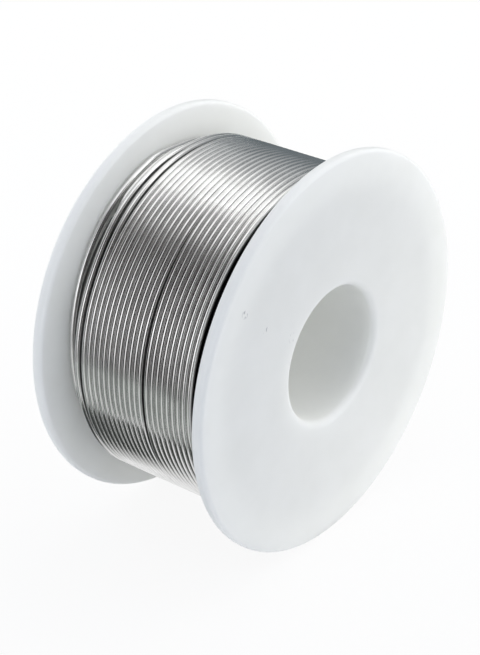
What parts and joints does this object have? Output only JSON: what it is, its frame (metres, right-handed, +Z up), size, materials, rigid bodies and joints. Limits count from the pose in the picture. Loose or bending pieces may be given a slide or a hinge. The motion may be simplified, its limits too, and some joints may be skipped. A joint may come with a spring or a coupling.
{
  "type": "solder wire spool",
  "caption": "Plastic reel with round flanges and a central spindle bore, wound full of bright flux-cored solder wire whose free end bends away to be drawn off.",
  "frame": {"origin": "middle of the spindle bore, half way between the two outer flange faces", "axes": "+Y along the spool's axis from the front flange to the rear flange, +Z up with the spool standing on its two rims"},
  "size_m": [0.052, 0.0264, 0.052],
  "materials": {
    "reel_plastic": "satin translucent white moulding",
    "solder": "bright drawn soft metal",
    "flux": "amber rosin"
  },
  "bodies": {
    "spool": {"front_flange": "reel_plastic", "rear_flange": "reel_plastic", "barrel": "reel_plastic", "wire_start": "solder", "inner_layers": "solder", "front_turns": "solder", "outer_layer": "solder", "last_turn": "solder", "edge_turns": "solder"},
    "free_end": {"wire_end": "solder", "flux_core": "flux"}
  },
  "joints": [
    {"name": "wire_bend", "type": "hinge", "parent": "spool", "child": "free_end", "pos_m": [0.01563, 0.00918, -0.01563], "axis": [0, 1, 0], "range_deg": [0, 70]}
  ]
}
